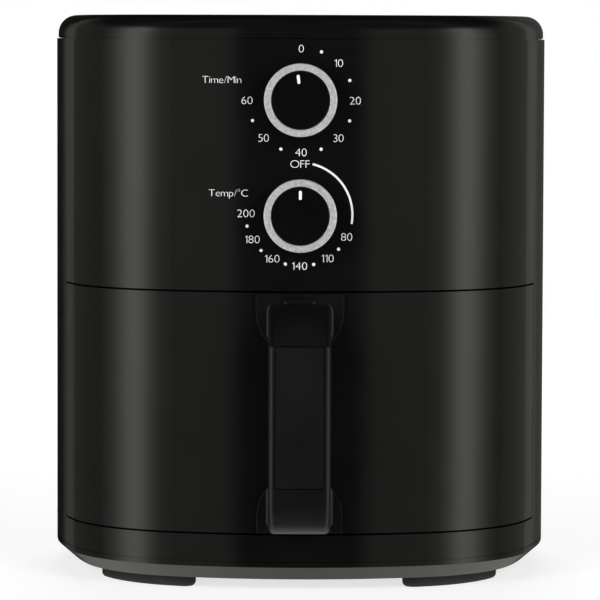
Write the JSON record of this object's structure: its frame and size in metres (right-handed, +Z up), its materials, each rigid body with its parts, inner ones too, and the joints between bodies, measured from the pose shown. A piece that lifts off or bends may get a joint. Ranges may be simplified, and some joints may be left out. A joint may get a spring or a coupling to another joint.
{
  "type": "air fryer",
  "caption": "Drawer-type air fryer: rounded black casing with timer and temperature dials above a pull-out pan drawer with an upright grip.",
  "frame": {"origin": "on the resting surface, below the middle of the overall box (handle and rear grille included)", "axes": "+Z up, front with the dials and the drawer towards -Y, +X to the right as seen from the front"},
  "size_m": [0.272, 0.346, 0.305],
  "materials": {
    "casing_black": "smooth black ABS with a soft sheen",
    "grip_black": "satin black, a little less glossy than the casing",
    "inlay_black": "fine satin black",
    "inner_black": "moulded black, slightly grained",
    "foot_rubber": "matte rubber",
    "silicone": "matte silicone",
    "nonstick": "dark non-stick coating with a fine speckle",
    "sheet_steel": "zinc-coated sheet",
    "bell_chrome": "nickel plated",
    "ceramic_white": "pale moulded thermoset",
    "copper_tube": "bare copper",
    "element_steel": "heat-tinted stainless",
    "core_steel": "stacked laminations",
    "winding": "enamelled copper wire",
    "bronze": "sintered bronze",
    "fan_aluminium": "pressed aluminium",
    "screw_steel": "plain steel",
    "insulation_wool": "felted mineral fibre",
    "nylon_white": "natural nylon",
    "knob_black": "smooth black",
    "dial_silver": "satin silver, faintly brushed",
    "print_white": "white insert"
  },
  "bodies": {
    "appliance_body": {"base": "casing_black", "base_screws": "screw_steel", "chamber_frame": "inner_black", "chamber_liner": "sheet_steel", "control_bracket": "sheet_steel", "cord_gland": "inner_black", "element_clips": "element_steel", "element_guard": "element_steel", "exhaust_duct": "sheet_steel", "feet": "foot_rubber", "heat_shield": "sheet_steel", "heating_element": "element_steel", "housing": "casing_black", "insulation": "insulation_wool", "interlock_switch": "inner_black", "motor_bearings": "bronze", "motor_brackets": "sheet_steel", "motor_coil": "winding", "motor_mount_plate": "sheet_steel", "motor_screws": "screw_steel", "motor_standoffs": "screw_steel", "motor_stator": "core_steel", "rear_vent_cover": "inner_black", "slide_rails": "inner_black", "terminal_block": "nylon_white", "thermal_cutout": "sheet_steel", "thermostat_bulb": "copper_tube", "thermostat_case": "ceramic_white", "timer_bell": "bell_chrome", "timer_case": "sheet_steel", "top_cover": "casing_black"},
    "drawer": {"drawer_front": "casing_black", "drawer_liner": "inner_black", "drawer_screws": "screw_steel", "handle_grip": "grip_black", "handle_inlay": "inlay_black", "handle_back_cover": "inlay_black", "handle_screws": "screw_steel", "pan": "nonstick", "pan_bracket": "sheet_steel", "pan_rivets": "screw_steel"},
    "crisper_tray": {"crisper_plate": "nonstick", "plate_feet": "silicone"},
    "fan_rotor": {"motor_shaft": "screw_steel", "motor_rotor": "fan_aluminium", "convection_fan": "fan_aluminium", "cooling_fan": "inner_black", "fan_nut": "screw_steel"},
    "timer_dial": {"timer_knob": "knob_black", "timer_knob_ring": "dial_silver", "timer_pointer": "print_white", "timer_shaft": "screw_steel"},
    "temperature_dial": {"temperature_knob": "knob_black", "temperature_knob_ring": "dial_silver", "temperature_pointer": "print_white", "temperature_shaft": "screw_steel"},
    "interlock_pin": {"interlock_plunger": "nylon_white"}
  },
  "joints": [
    {"name": "drawer_slide", "type": "slide", "parent": "appliance_body", "child": "drawer", "axis": [0, -1, 0], "range_m": [0, 0.26]},
    {"name": "crisper_lift", "type": "slide", "parent": "drawer", "child": "crisper_tray", "axis": [0, 0, 1], "range_m": [0, 0.1]},
    {"name": "fan_spin", "type": "hinge", "parent": "appliance_body", "child": "fan_rotor", "pos_m": [0, 0.02, 0.2], "axis": [0, 0, 1], "continuous": true},
    {"name": "timer_turn", "type": "hinge", "parent": "appliance_body", "child": "timer_dial", "pos_m": [0, -0.13, 0.2605], "axis": [0, 1, 0], "range_deg": [0, 276]},
    {"name": "temperature_turn", "type": "hinge", "parent": "appliance_body", "child": "temperature_dial", "pos_m": [0, -0.13, 0.2001], "axis": [0, 1, 0], "range_deg": [0, 271]},
    {"name": "interlock_press", "type": "slide", "parent": "appliance_body", "child": "interlock_pin", "axis": [0, 1, 0], "range_m": [0, 0.0018], "stiffness_N_per_m": 150}
  ]
}
